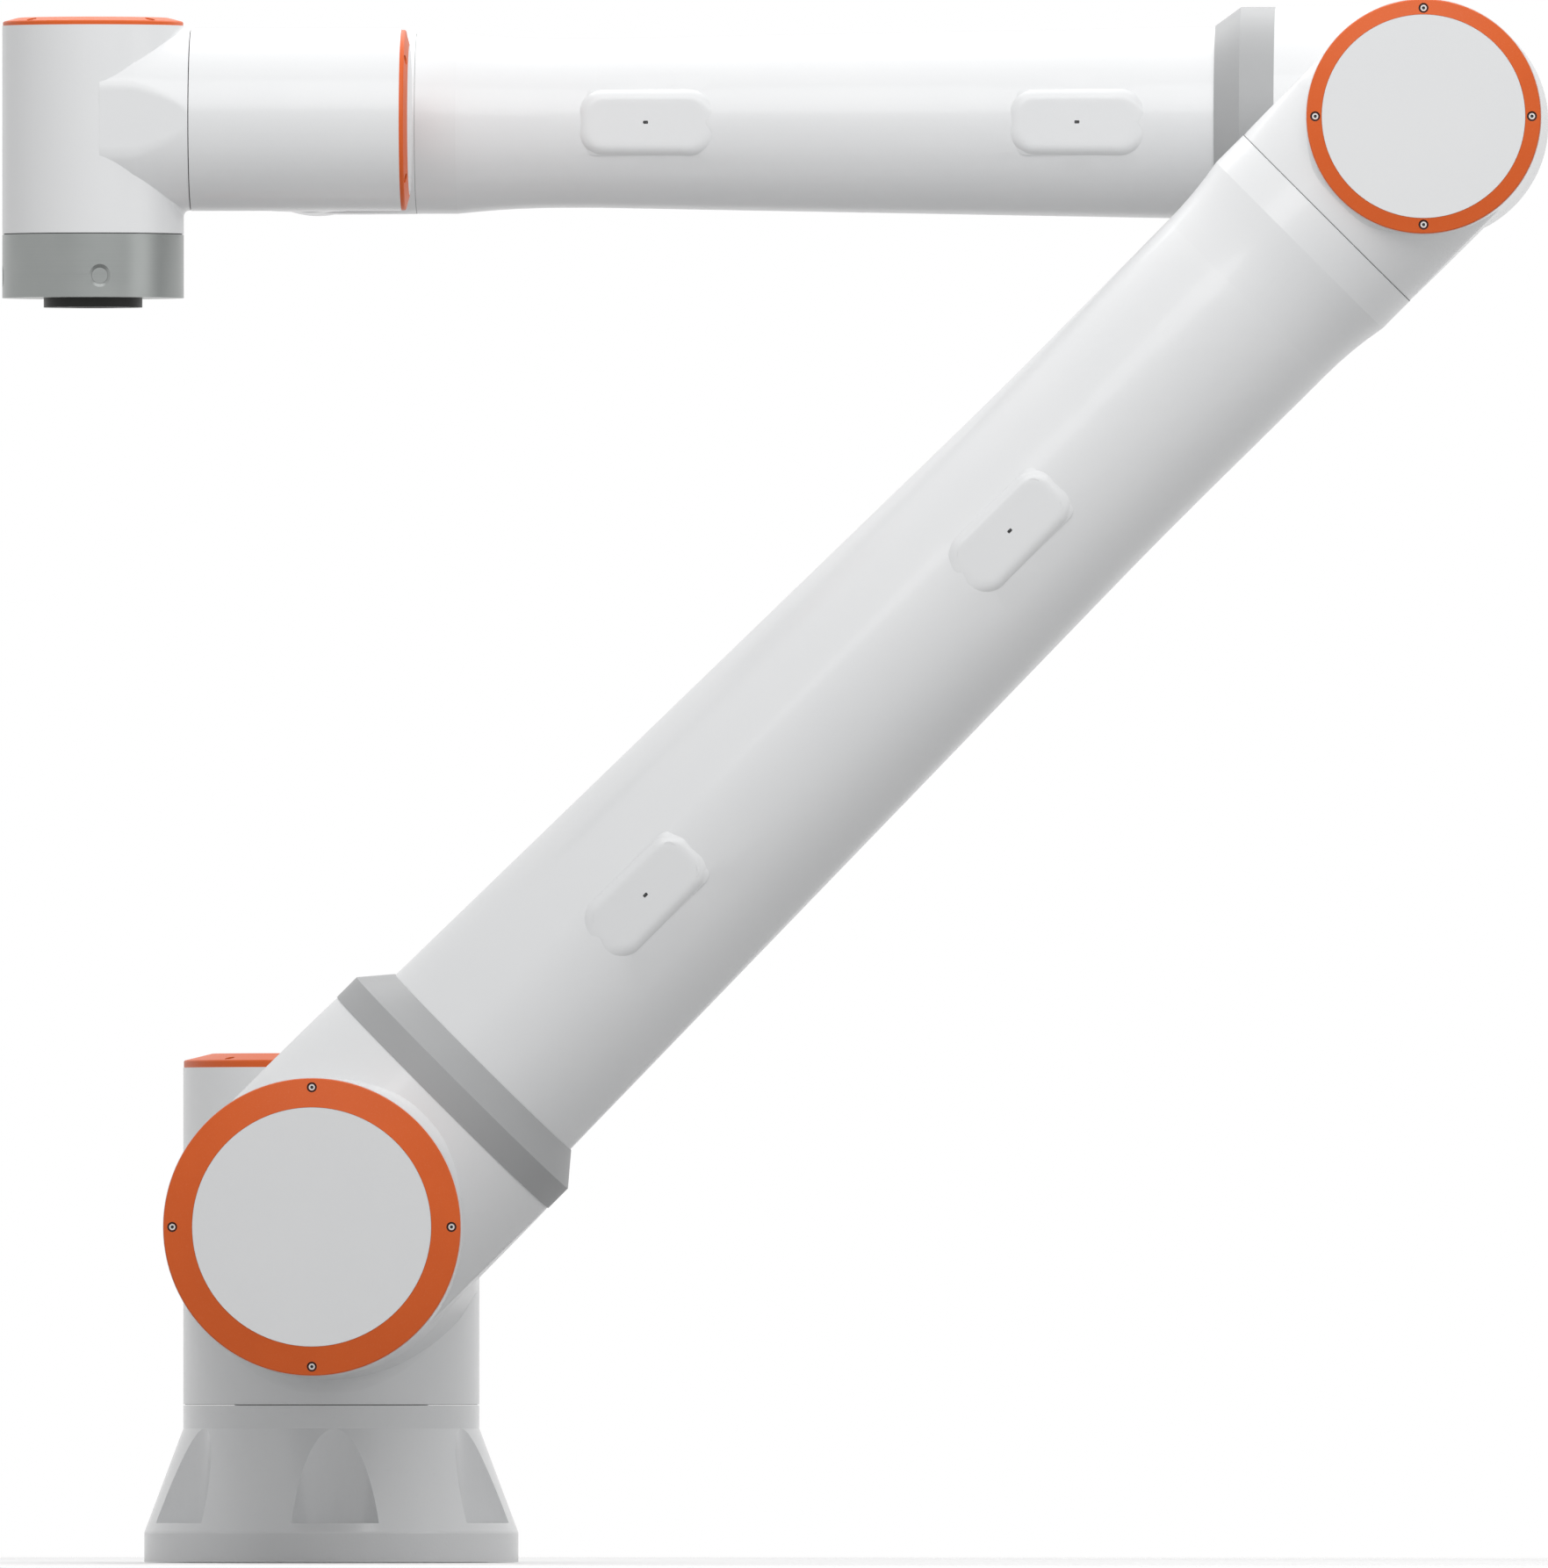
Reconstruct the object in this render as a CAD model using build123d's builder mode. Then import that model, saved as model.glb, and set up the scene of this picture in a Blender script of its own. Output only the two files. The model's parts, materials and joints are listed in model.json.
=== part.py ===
from build123d import *
from dataclasses import dataclass, replace
from math import cos, radians, sin, sqrt
import os

os.makedirs("parts", exist_ok=True)

# Six-axis robot arm, in millimetres, in the folded pose it is shown in.
# The origin is the middle of the foot's underside. +Z is up, the arm folds in planes
# square to Y, its front is -Y, and the forearm points to -X.

# Layout of the six joint axes
shoulder_height = 214
shoulder_offset = 245
upper_arm_length = 1000
upper_arm_rise = 45
elbow_offset = 172
forearm_length = 715
wrist_offset = 137
wrist_reach = 137

# Joint seams: the gap between two bodies, and the spigot that centres one in the other
seam_gap = 0.6
seal_clear = 0.3
seal_inset = 1.2
seal_width = 6
seal_groove = 2
spigot_length = 8
spigot_clear = 0.5
fit = 0.15

# Big modules: foot neck, shoulder, lower end of the upper arm
big_radius = 95
big_seam = 113
big_body = 103
big_band = 4.5
big_cone = 4.5
big_ring = 18.4
big_blend = 12
big_spigot = 62
big_screws = 88.9

# Middle module: the elbow
middle_radius = 75
middle_seam = 95
middle_body = 77.5
middle_band = 3.3
middle_cone = 2.5
middle_ring = 9.7
middle_blend = 10
middle_spigot = 48
middle_screws = 69

# Small modules: the three wrists
small_radius = 58
small_seam = 74
small_body = 60.2
small_band = 2.6
small_cone = 2.5
small_ring = 9.6
small_blend = 8
small_spigot = 36
small_screws = 53.4

# What the modules share
branch_step = 0.4
blend_land = 0.5
cap_step = 0.4
cap_edge = 0.6
screw_recess = 3.2
screw_depth = 1.4

# Foot: a flange with six pockets that give room to the foot's bolts
foot_radius = 120
foot_rim = 19
foot_neck_start = 85.5
foot_round = 4
foot_turn = 3.2
pocket_count = 6
pocket_radius = 30
pocket_floor = 25
foot_bolt_inset = 0.5
foot_bolt_hole = 5.5

# Cable inlet on the back of the foot
inlet_height = 52
inlet_radius = 17
inlet_stand = 4
inlet_length = 22
inlet_bore = 10.5
inlet_depth = 12
inlet_edge = 0.8

# Upper arm between its two housings, measured along the arm from the shoulder joint, or back
# from the elbow joint
upper_branch = 112.7
upper_collar_radius = 95.3
upper_collar_edge = 130.4
upper_collar_end = 149
upper_collar_lip = 79.6
upper_tube_start = 78.8
upper_taper_back = 343
upper_taper_radius = 70.1
upper_waist_back = 293
upper_waist = 69.75
upper_flare_back = 162
upper_flare_radius = 70.5
upper_flare_bend = 256
upper_elbow_branch = 89.6
upper_pad_out = 299
upper_pad_back = 373

# Forearm between its two housings, measured from the elbow joint, or back from the wrist joint
fore_branch = 99.5
fore_collar_edge = 121.6
fore_collar_end = 138
fore_collar_lip = 62.7
fore_tube_start = 61.2
fore_taper_back = 182
fore_waist = 53.8
fore_flare_back = 159
fore_flare_bend = 596
fore_wrist_branch = 65.3
fore_pad_out = 225.5
fore_pad_back = 213.4

# Raised pads on the front and back of both tubes
pad_length = 85
pad_width = 42.5
pad_corner = 11
pad_rise = 0.7
pad_slope = 60
pad_hole = 1.65
pad_hole_depth = 9

# Tool end
tool_seam = 72.6
tool_length = 41
tool_plug_drop = 27.4
tool_plug_turn = 6.5
tool_plug_rim = 7.3
tool_plug_bevel = 55
tool_plug_radius = 5.1
tool_plug_sink = 1.5
tool_plug_depth = 6
tool_socket_drop = 14.4
tool_socket_radius = 6
tool_socket_sink = 1
tool_socket_depth = 10
tool_socket_bore = 4
tool_socket_bore_depth = 6
flange_radius = 31.5
flange_face = 6
flange_root_radius = 29.5
flange_root = 10
flange_pilot = 15.75
flange_pilot_depth = 6
flange_bolt_circle = 25
flange_bolt_hole = 2.5
flange_bolt_depth = 12
flange_dowel = 3


@dataclass
class Module:
    """One size of joint module: a barrel along the joint's axis with a capped end."""
    radius: float
    seam: float
    body: float
    band: float
    cone: float
    ring: float
    blend: float
    spigot: float
    screws: float


big = Module(big_radius, big_seam, big_body, big_band, big_cone, big_ring, big_blend, big_spigot,
             big_screws)
middle = Module(middle_radius, middle_seam, middle_body, middle_band, middle_cone, middle_ring,
                middle_blend, middle_spigot, middle_screws)
small = Module(small_radius, small_seam, small_body, small_band, small_cone, small_ring,
               small_blend, small_spigot, small_screws)

# Where the joint modules stand, worked out from the layout
arm_along = Vector(cos(radians(upper_arm_rise)), 0, sin(radians(upper_arm_rise)))
front = Vector(0, -1, 0)
back = Vector(0, 1, 0)
right = Vector(1, 0, 0)
left = Vector(-1, 0, 0)
up = Vector(0, 0, 1)
down = Vector(0, 0, -1)

shoulder_at = Vector(0, 0, shoulder_height)
upper_at = shoulder_at + front * shoulder_offset
elbow_at = upper_at + arm_along * upper_arm_length
fore_elbow_at = elbow_at + back * elbow_offset
fore_wrist_at = fore_elbow_at + left * forearm_length
wrist_1_at = fore_wrist_at + front * wrist_offset
wrist_2_at = wrist_1_at + left * wrist_reach
tool_at = wrist_2_at + down * tool_seam

# Each housing's own plane: Z along the joint towards the cap, X towards the branch
shoulder_place = Plane(origin=shoulder_at, x_dir=front, z_dir=up)
upper_place = Plane(origin=upper_at, x_dir=arm_along, z_dir=front)
elbow_place = Plane(origin=elbow_at, x_dir=-arm_along, z_dir=front)
fore_elbow_place = Plane(origin=fore_elbow_at, x_dir=left, z_dir=front)
fore_wrist_place = Plane(origin=fore_wrist_at, x_dir=right, z_dir=back)
wrist_1_place = Plane(origin=wrist_1_at, x_dir=back, z_dir=right)
wrist_2_place = Plane(origin=wrist_2_at, x_dir=right, z_dir=up)
tool_place = Plane(origin=tool_at, x_dir=right, z_dir=down)


def save(part, name):
    """Label a finished piece and write it to its own file."""
    part.label = name
    export_step(part, f"parts/{name}.step")


def side_plane(place):
    """The plane through a housing's middle that faces along its branch."""
    return Plane(origin=place.origin, x_dir=place.y_dir, z_dir=place.x_dir)


def crotch_edges(part):
    """The curved edges where a branch runs into its barrel."""
    plain = (GeomType.LINE, GeomType.CIRCLE)
    return part.edges().filter_by(lambda edge: edge.geom_type not in plain)


def tee_housing(name, place, module, branch_reach, branch_spigot=True):
    """A cast housing: barrel from seam to cap, and a branch blended into its side."""
    with BuildPart() as housing:
        with BuildSketch(place.offset(-module.seam)):
            Circle(module.radius)
        extrude(amount=module.seam + module.body)
        with BuildSketch(side_plane(place)):
            Circle(module.radius - branch_step)
        extrude(amount=branch_reach)
        fillet(crotch_edges(housing), min(module.blend, branch_reach - module.radius - blend_land))
        with BuildSketch(place.offset(-module.seam)):
            Circle(module.spigot + spigot_clear)
        extrude(amount=spigot_length + spigot_clear, mode=Mode.SUBTRACT)
        with BuildSketch(place.offset(-module.seam)):
            Circle(module.radius - seal_inset + fit)
            Circle(module.radius - seal_inset - seal_width - fit, mode=Mode.SUBTRACT)
        extrude(amount=seal_groove, mode=Mode.SUBTRACT)
        if branch_spigot:
            with BuildSketch(side_plane(place).offset(branch_reach)):
                Circle(module.spigot)
            extrude(amount=spigot_length)
    save(housing.part, name)


def joint_seal(name, place, module):
    """The lip seal that lies in the barrel's end and nearly closes the joint's seam."""
    with BuildPart() as seal:
        with BuildSketch(place.offset(seal_groove - module.seam)):
            Circle(module.radius - seal_inset)
            Circle(module.radius - seal_inset - seal_width, mode=Mode.SUBTRACT)
        extrude(amount=-(seal_groove + seam_gap - seal_clear))
    save(seal.part, name)


def cap_ring(name, place, module):
    """The coloured ring round a cap: an upright band, then a shallow cone, with four screws."""
    outer = module.radius - cap_step
    inner = outer - module.ring
    top = module.band + module.cone
    foot = place.origin + place.z_dir * module.body
    section = Plane(origin=foot, x_dir=place.x_dir, z_dir=-place.y_dir)
    with BuildPart() as ring:
        with BuildSketch(section):
            with BuildLine():
                Polyline((inner, 0), (outer, 0), (outer, module.band), (inner, top), close=True)
            make_face()
        revolve(axis=Axis(place.origin, place.z_dir))
        corner = ring.edges().filter_by(GeomType.CIRCLE).sort_by(SortBy.RADIUS)[-2:]
        chamfer(corner.sort_by(Axis(place.origin, place.z_dir))[-1], cap_edge)
        with BuildSketch(place.offset(module.body + top)):
            with PolarLocations(module.screws, 4, start_angle=45):
                Circle(screw_recess)
        extrude(amount=-(module.cone + screw_depth), mode=Mode.SUBTRACT)
    save(ring.part, name)


def cap_disc(name, place, module):
    """The flat lid inside a cap's ring."""
    with BuildPart() as disc:
        with BuildSketch(place.offset(module.body)):
            Circle(module.radius - cap_step - module.ring - fit)
        extrude(amount=module.band + module.cone)
    save(disc.part, name)


def tool_side(turn, drop):
    """A plane on the tool housing's side, at an angle from its front, facing outwards."""
    out = Vector(sin(radians(turn)), -cos(radians(turn)), 0)
    return Plane(origin=tool_at + out * small_radius + down * drop, x_dir=up, z_dir=out)


def module_set(prefix, place, module, branch_reach, branch_spigot=True):
    """A housing with its seal and its cap."""
    tee_housing(f"{prefix}_housing", place, module, branch_reach, branch_spigot)
    joint_seal(f"{prefix}_seal", place, module)
    cap_ring(f"{prefix}_cap_ring", place, module)
    cap_disc(f"{prefix}_cap_disc", place, module)


def add_pads(tube_plane, along, tube_radius):
    """Bevelled pads on both sides of a tube, each with a threaded hole in its middle."""
    drop = tube_radius - sqrt(tube_radius ** 2 - (pad_width / 2) ** 2)
    for side in (front, back):
        pad_at = tube_plane.origin + tube_plane.z_dir * along
        top = Plane(origin=pad_at + side * (tube_radius + pad_rise), x_dir=tube_plane.z_dir, z_dir=side)
        with BuildSketch(top.offset(-drop - pad_rise)) as outline:
            RectangleRounded(pad_length, pad_width, pad_corner)
        extrude(outline.sketch, amount=drop + pad_rise, taper=pad_slope)
        with BuildSketch(top) as hole:
            Circle(pad_hole)
        extrude(hole.sketch, amount=-pad_hole_depth, mode=Mode.SUBTRACT)


# Foot, cast in one piece with the neck
neck_height = shoulder_height - big_seam - seam_gap
pocket_centre = big_radius + pocket_radius
foot_bolt_circle = (big_radius + foot_radius) / 2 - foot_bolt_inset
inlet_turn = foot_turn + 180 - 180 / pocket_count
inlet_out = Vector(sin(radians(inlet_turn)), -cos(radians(inlet_turn)), 0)
cone_drop = (foot_radius - big_radius) * (inlet_height - foot_rim) / (foot_neck_start - foot_rim)
inlet_face = inlet_out * (foot_radius - cone_drop + inlet_stand) + up * inlet_height
inlet_plane = Plane(origin=inlet_face, x_dir=up, z_dir=inlet_out)
with BuildPart() as foot:
    with BuildSketch(Plane.XZ):
        with BuildLine():
            Polyline((0, 0), (foot_radius, 0), (foot_radius, foot_rim), (big_radius, foot_neck_start),
                     (big_radius, neck_height), (0, neck_height), close=True)
        make_face()
    revolve(axis=Axis.Z)
    rim_edge = foot.edges().filter_by_position(Axis.Z, foot_rim - 1, foot_rim + 1)
    fillet(rim_edge.filter_by(GeomType.CIRCLE), foot_round)
    with BuildSketch(Plane.XY.offset(pocket_floor)):
        with PolarLocations(pocket_centre, pocket_count, start_angle=foot_turn - 90):
            Circle(pocket_radius)
    extrude(amount=neck_height, mode=Mode.SUBTRACT)
    with BuildSketch(Plane.XY):
        with PolarLocations(foot_bolt_circle, pocket_count, start_angle=foot_turn - 90):
            Circle(foot_bolt_hole)
    extrude(amount=pocket_floor, mode=Mode.SUBTRACT)
    with BuildSketch(Plane.XY.offset(neck_height)):
        Circle(big_spigot)
    extrude(amount=spigot_length)
    with BuildSketch(inlet_plane.offset(-inlet_length)):
        Circle(inlet_radius + fit)
    extrude(amount=foot_radius, mode=Mode.SUBTRACT)
save(foot.part, "base_foot")

with BuildPart() as inlet:
    with BuildSketch(inlet_plane.offset(-inlet_length)):
        Circle(inlet_radius)
    extrude(amount=inlet_length)
    with BuildSketch(inlet_plane):
        Circle(inlet_bore)
    extrude(amount=-inlet_depth, mode=Mode.SUBTRACT)
    face_edges = inlet.edges().filter_by(GeomType.CIRCLE).sort_by(Axis((0, 0, 0), inlet_out))
    chamfer(face_edges[-2:], inlet_edge)
save(inlet.part, "cable_inlet")

# Shoulder, upper arm, forearm and wrist housings with their caps
module_set("shoulder", shoulder_place, big, shoulder_offset - big_seam - seam_gap)
module_set("upper_arm", upper_place, big, upper_branch, branch_spigot=False)
module_set("elbow", elbow_place, middle, upper_elbow_branch, branch_spigot=False)
module_set("forearm_wrist", fore_wrist_place, small, fore_wrist_branch, branch_spigot=False)
module_set("wrist_1", wrist_1_place, small, wrist_offset - small_seam - seam_gap)
module_set("wrist_2", wrist_2_place, replace(small, seam=tool_seam), wrist_reach - small_seam - seam_gap)

# Forearm's elbow: a bend with a ball-shaped back, and no cap
with BuildPart() as bend:
    with BuildSketch(fore_elbow_place):
        Circle(middle_radius)
    extrude(amount=elbow_offset - middle_seam - seam_gap)
    with Locations(fore_elbow_place):
        Sphere(middle_radius)
    with BuildSketch(side_plane(fore_elbow_place)):
        Circle(middle_radius - branch_step)
    extrude(amount=fore_branch)
    fillet(crotch_edges(bend), middle_blend)
    with BuildSketch(fore_elbow_place.offset(elbow_offset - middle_seam - seam_gap)):
        Circle(middle_spigot)
    extrude(amount=spigot_length)
save(bend.part, "forearm_elbow_housing")

# Upper arm's collar and tube, revolved round the arm's axis
upper_axis = Axis(upper_at, arm_along)
upper_section = Plane(origin=upper_at, x_dir=arm_along, z_dir=front)
upper_end = upper_arm_length - upper_elbow_branch
with BuildPart() as upper_collar:
    with BuildSketch(upper_section):
        with BuildLine():
            Polyline((upper_branch, upper_tube_start + fit), (upper_collar_end, upper_tube_start + fit),
                     (upper_collar_end, upper_collar_lip), (upper_collar_edge, upper_collar_radius),
                     (upper_branch, upper_collar_radius), close=True)
        make_face()
    revolve(axis=upper_axis)
save(upper_collar.part, "upper_arm_collar")

upper_taper_end = upper_arm_length - upper_taper_back
upper_waist_at = upper_arm_length - upper_waist_back
upper_flare_start = upper_arm_length - upper_flare_back
upper_flare_rise = middle_radius - upper_flare_radius
upper_flare_run = sqrt(2 * upper_flare_bend * upper_flare_rise - upper_flare_rise ** 2)
upper_taper_run = upper_taper_end - upper_collar_end
with BuildPart() as upper_tube:
    with BuildSketch(upper_section):
        with BuildLine():
            Polyline((upper_taper_end, upper_taper_radius), (upper_collar_end, upper_tube_start),
                     (upper_branch, upper_tube_start), (upper_branch, 0), (upper_end, 0),
                     (upper_end, middle_radius),
                     (upper_flare_start + upper_flare_run, middle_radius))
            Spline((upper_taper_end, upper_taper_radius), (upper_waist_at, upper_waist),
                   (upper_flare_start, upper_flare_radius),
                   tangents=[(upper_taper_run, upper_taper_radius - upper_tube_start), (1, 0)])
            TangentArc((upper_flare_start, upper_flare_radius),
                       (upper_flare_start + upper_flare_run, middle_radius), tangent=(1, 0))
        make_face()
    revolve(axis=upper_axis)
    upper_tube_plane = Plane(origin=upper_at, x_dir=front, z_dir=arm_along)
    for along in (upper_pad_out, upper_arm_length - upper_pad_back):
        taper = (upper_tube_start - upper_taper_radius) / upper_taper_run
        add_pads(upper_tube_plane, along, upper_tube_start - taper * (along - upper_collar_end))
save(upper_tube.part, "upper_arm_tube")

# Forearm's collar and tube
fore_axis = Axis(fore_elbow_at, left)
fore_section = Plane(origin=fore_elbow_at, x_dir=left, z_dir=back)
fore_end = forearm_length - fore_wrist_branch
fore_collar_radius = middle_radius - branch_step
with BuildPart() as fore_collar:
    with BuildSketch(fore_section):
        with BuildLine():
            Polyline((fore_branch, fore_tube_start + fit), (fore_collar_end, fore_tube_start + fit),
                     (fore_collar_end, fore_collar_lip), (fore_collar_edge, fore_collar_radius),
                     (fore_branch, fore_collar_radius), close=True)
        make_face()
    revolve(axis=fore_axis)
save(fore_collar.part, "forearm_collar")

fore_taper_end = forearm_length - fore_taper_back
fore_flare_start = forearm_length - fore_flare_back
fore_end_radius = small_radius - branch_step
fore_flare_rise = fore_end_radius - fore_waist
fore_flare_run = sqrt(2 * fore_flare_bend * fore_flare_rise - fore_flare_rise ** 2)
fore_taper_run = fore_taper_end - fore_collar_end
with BuildPart() as fore_tube:
    with BuildSketch(fore_section):
        with BuildLine():
            Polyline((fore_flare_start, fore_waist), (fore_taper_end, fore_waist),
                     (fore_collar_end, fore_tube_start), (fore_branch, fore_tube_start),
                     (fore_branch, 0), (fore_end, 0), (fore_end, fore_end_radius),
                     (fore_flare_start + fore_flare_run, fore_end_radius))
            TangentArc((fore_flare_start, fore_waist),
                       (fore_flare_start + fore_flare_run, fore_end_radius), tangent=(1, 0))
        make_face()
    revolve(axis=fore_axis)
    fore_tube_plane = Plane(origin=fore_elbow_at, x_dir=front, z_dir=left)
    for along in (fore_pad_out, forearm_length - fore_pad_back):
        taper = (fore_tube_start - fore_waist) / fore_taper_run
        add_pads(fore_tube_plane, along, fore_tube_start - taper * (along - fore_collar_end))
save(fore_tube.part, "forearm_tube")

# Tool end: housing with two plugs and a socket in its side, and the round tool flange
with BuildPart() as tool:
    with BuildSketch(tool_place.offset(seam_gap)):
        Circle(small_radius)
    extrude(amount=tool_length - seam_gap)
    with BuildSketch(tool_place.offset(seam_gap)):
        Circle(small_spigot)
    extrude(amount=-spigot_length)
    with BuildSketch(tool_place.offset(tool_length)):
        Circle(flange_root_radius + fit)
    extrude(amount=-flange_root, mode=Mode.SUBTRACT)
    for turn in (tool_plug_turn, tool_plug_turn - 90):
        with BuildSketch(tool_side(turn, tool_plug_drop)):
            Circle(tool_plug_rim)
        extrude(amount=-tool_plug_sink, taper=tool_plug_bevel, mode=Mode.SUBTRACT)
        with BuildSketch(tool_side(turn, tool_plug_drop)):
            Circle(tool_plug_radius + fit)
        extrude(amount=-tool_plug_depth, mode=Mode.SUBTRACT)
    with BuildSketch(tool_side(tool_plug_turn + 90, tool_socket_drop)):
        Circle(tool_socket_radius + fit)
    extrude(amount=-tool_socket_depth, mode=Mode.SUBTRACT)
save(tool.part, "tool_housing")

for name, turn in (("tool_plug_front", tool_plug_turn), ("tool_plug_side", tool_plug_turn - 90)):
    with BuildPart() as plug:
        with BuildSketch(tool_side(turn, tool_plug_drop).offset(-tool_plug_depth)):
            Circle(tool_plug_radius)
        extrude(amount=tool_plug_depth - tool_plug_sink)
    save(plug.part, name)

with BuildPart() as socket:
    with BuildSketch(tool_side(tool_plug_turn + 90, tool_socket_drop).offset(-tool_socket_depth)):
        Circle(tool_socket_radius)
    extrude(amount=tool_socket_depth - tool_socket_sink)
    with BuildSketch(tool_side(tool_plug_turn + 90, tool_socket_drop)):
        Circle(tool_socket_bore)
    extrude(amount=-tool_socket_bore_depth - tool_socket_sink, mode=Mode.SUBTRACT)
save(socket.part, "tool_socket")

with BuildPart() as flange:
    with BuildSketch(tool_place.offset(tool_length)):
        Circle(flange_radius)
    extrude(amount=flange_face)
    with BuildSketch(tool_place.offset(tool_length)):
        Circle(flange_root_radius)
    extrude(amount=-flange_root)
    with BuildSketch(tool_place.offset(tool_length + flange_face)):
        Circle(flange_pilot)
    extrude(amount=-flange_pilot_depth, mode=Mode.SUBTRACT)
    with BuildSketch(tool_place.offset(tool_length + flange_face)):
        with PolarLocations(flange_bolt_circle, 4, start_angle=45):
            Circle(flange_bolt_hole)
        with Locations((flange_bolt_circle, 0)):
            Circle(flange_dowel)
    extrude(amount=-flange_bolt_depth, mode=Mode.SUBTRACT)
save(flange.part, "tool_flange")
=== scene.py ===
import json
from dataclasses import dataclass
from math import acos, cos, hypot, pi, radians, sin, sqrt

import bmesh
import bpy
from mathutils import Matrix, Vector


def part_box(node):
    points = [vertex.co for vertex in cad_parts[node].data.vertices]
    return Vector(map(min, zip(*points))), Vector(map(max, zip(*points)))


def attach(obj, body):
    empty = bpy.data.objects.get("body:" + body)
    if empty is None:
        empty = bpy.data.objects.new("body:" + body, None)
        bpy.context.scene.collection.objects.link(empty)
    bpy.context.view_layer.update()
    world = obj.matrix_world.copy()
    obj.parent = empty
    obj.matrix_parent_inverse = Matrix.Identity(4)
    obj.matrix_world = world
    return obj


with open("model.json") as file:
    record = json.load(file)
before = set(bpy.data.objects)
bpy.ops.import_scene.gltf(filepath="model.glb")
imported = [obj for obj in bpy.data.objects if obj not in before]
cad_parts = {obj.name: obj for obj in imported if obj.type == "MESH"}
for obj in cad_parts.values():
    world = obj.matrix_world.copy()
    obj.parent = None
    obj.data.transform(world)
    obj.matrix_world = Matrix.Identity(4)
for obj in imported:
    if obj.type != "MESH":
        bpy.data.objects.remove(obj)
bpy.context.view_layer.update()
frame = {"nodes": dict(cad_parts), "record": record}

MM = 0.001

# Camera: the photograph's frame, how many of its pixels make a millimetre, and where it looks from
PHOTO_WIDTH, PHOTO_HEIGHT = 1763, 1786
PIXELS_PER_MM = 1.783
ORIGIN_PIXEL = (375.1, 1782.5)
CAMERA_TURN = radians(1.66)
CAMERA_DIP = radians(0.49)
CAMERA_DISTANCE = 45
CAMERA_SENSOR = 36
AIM_DEPTH = -0.18

# Studio: a pale round floor, and a soft light all round that is strongest overhead
FLOOR_RADIUS = 1.6
FLOOR_DROP = 0.0004
FLOOR_STEPS = 96
FLOOR_FADE = (0.6 * FLOOR_RADIUS, 0.98 * FLOOR_RADIUS)
FLOOR_SEEN, FLOOR_BOUNCE = 0.95, 0.5
WORLD_LIGHT = 0.49
LIGHTS_AIM = Vector((0.3, -0.2, 0.5))
LIGHTS = (
    ("top_light", Vector((0.3, -0.2, 2.4)), 2.0, 2.0, 11),
    ("front_light", Vector((0.3, -2.0, 2.0)), 2.0, 1.4, 22),
    ("back_light", Vector((0.3, 0.9, 2.2)), 2.0, 1.4, 15),
    ("side_light", Vector((2.8, -1.6, 1.2)), 1.6, 1.6, 5),
)

# Directions of the row frame
RIGHT, LEFT = Vector((1, 0, 0)), Vector((-1, 0, 0))
FRONT, BACK = Vector((0, -1, 0)), Vector((0, 1, 0))
UP = Vector((0, 0, 1))
ARM_ALONG = (UP + RIGHT).normalized()

# Screws in the coloured cap rings
SCREWS_PER_RING = 4
SCREW_TURN = pi / 4
SCREW_HEAD_RADIUS = 2.3 * MM
SCREW_HEAD_HEIGHT = 1.3 * MM
SCREW_HEAD_EDGE = 0.35 * MM
SCREW_SOCKET_RADIUS = 1.15 * MM
SCREW_SOCKET_DEPTH = 1.1 * MM
# Black rings round the screw heads are painted shade: they fill each recess floor to stand for its shadow
RECESS_SHADE_RADIUS = 3.15 * MM
RECESS_SHADE_HEIGHT = 0.3 * MM
SCREW_RECESS_DEPTH = 1.4 * MM
ROUND_STEPS, KEY_SIDES = 32, 6
MERGE_DISTANCE = 1e-6

# Contact pins in the sockets
PIN_STEPS, PIN_TIP_STEPS = 16, 8

# Cast housings: flat cheeks, and how far past the barrel the flare of a branch ends
CHEEK_STEP = 0.34 * MM
FLARE_TIP = 0.02 * MM
FLARE_STEPS, FLARE_STATIONS, CHEEK_STEPS = 48, 16, 8

# The dark hairline where a tube is pushed into its far housing
HAIRLINE_WIDTH, HAIRLINE_STAND, HAIRLINE_STEPS = 0.5 * MM, 0.03 * MM, 96

# Raised pads on the tubes
PAD_LENGTH, PAD_WIDTH, PAD_CORNER = 85 * MM, 42.5 * MM, 15 * MM
PAD_RISE = 0.78 * MM
PAD_HOLE = 1.65 * MM
PAD_SLOPE_WIDTH = 6.8 * MM
PAD_SINK = 0.05 * MM
PAD_STEPS = 12
PAD_SHARES = (0, 0.03, 0.07, 0.12, 0.18, 0.25, 0.33, 0.45, 0.6, 0.8, 1)


class Value:
    """A shader socket in a sum: each operator adds the Math node that works it out."""

    def __init__(self, shading, socket):
        self.shading, self.socket = shading, socket

    def math(self, operation, *operands):
        inputs = dict(enumerate(operands))
        return self.shading.node("ShaderNodeMath", {"operation": operation}, inputs, "Value")

    def __add__(self, other):
        return self.math("ADD", self, other)

    __radd__ = __add__

    def __rsub__(self, other):
        return self.math("SUBTRACT", other, self)

    def __mul__(self, other):
        return self.math("MULTIPLY", self, other)

    __rmul__ = __mul__

    def larger(self, other):
        return self.math("MAXIMUM", self, other)

    def part(self, low, high):
        """0 at low and below, 1 at high and above, straight in between."""
        inputs = {"Value": self, "From Min": low, "From Max": high}
        return self.shading.node("ShaderNodeMapRange", {"clamp": True}, inputs, "Result")


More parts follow.
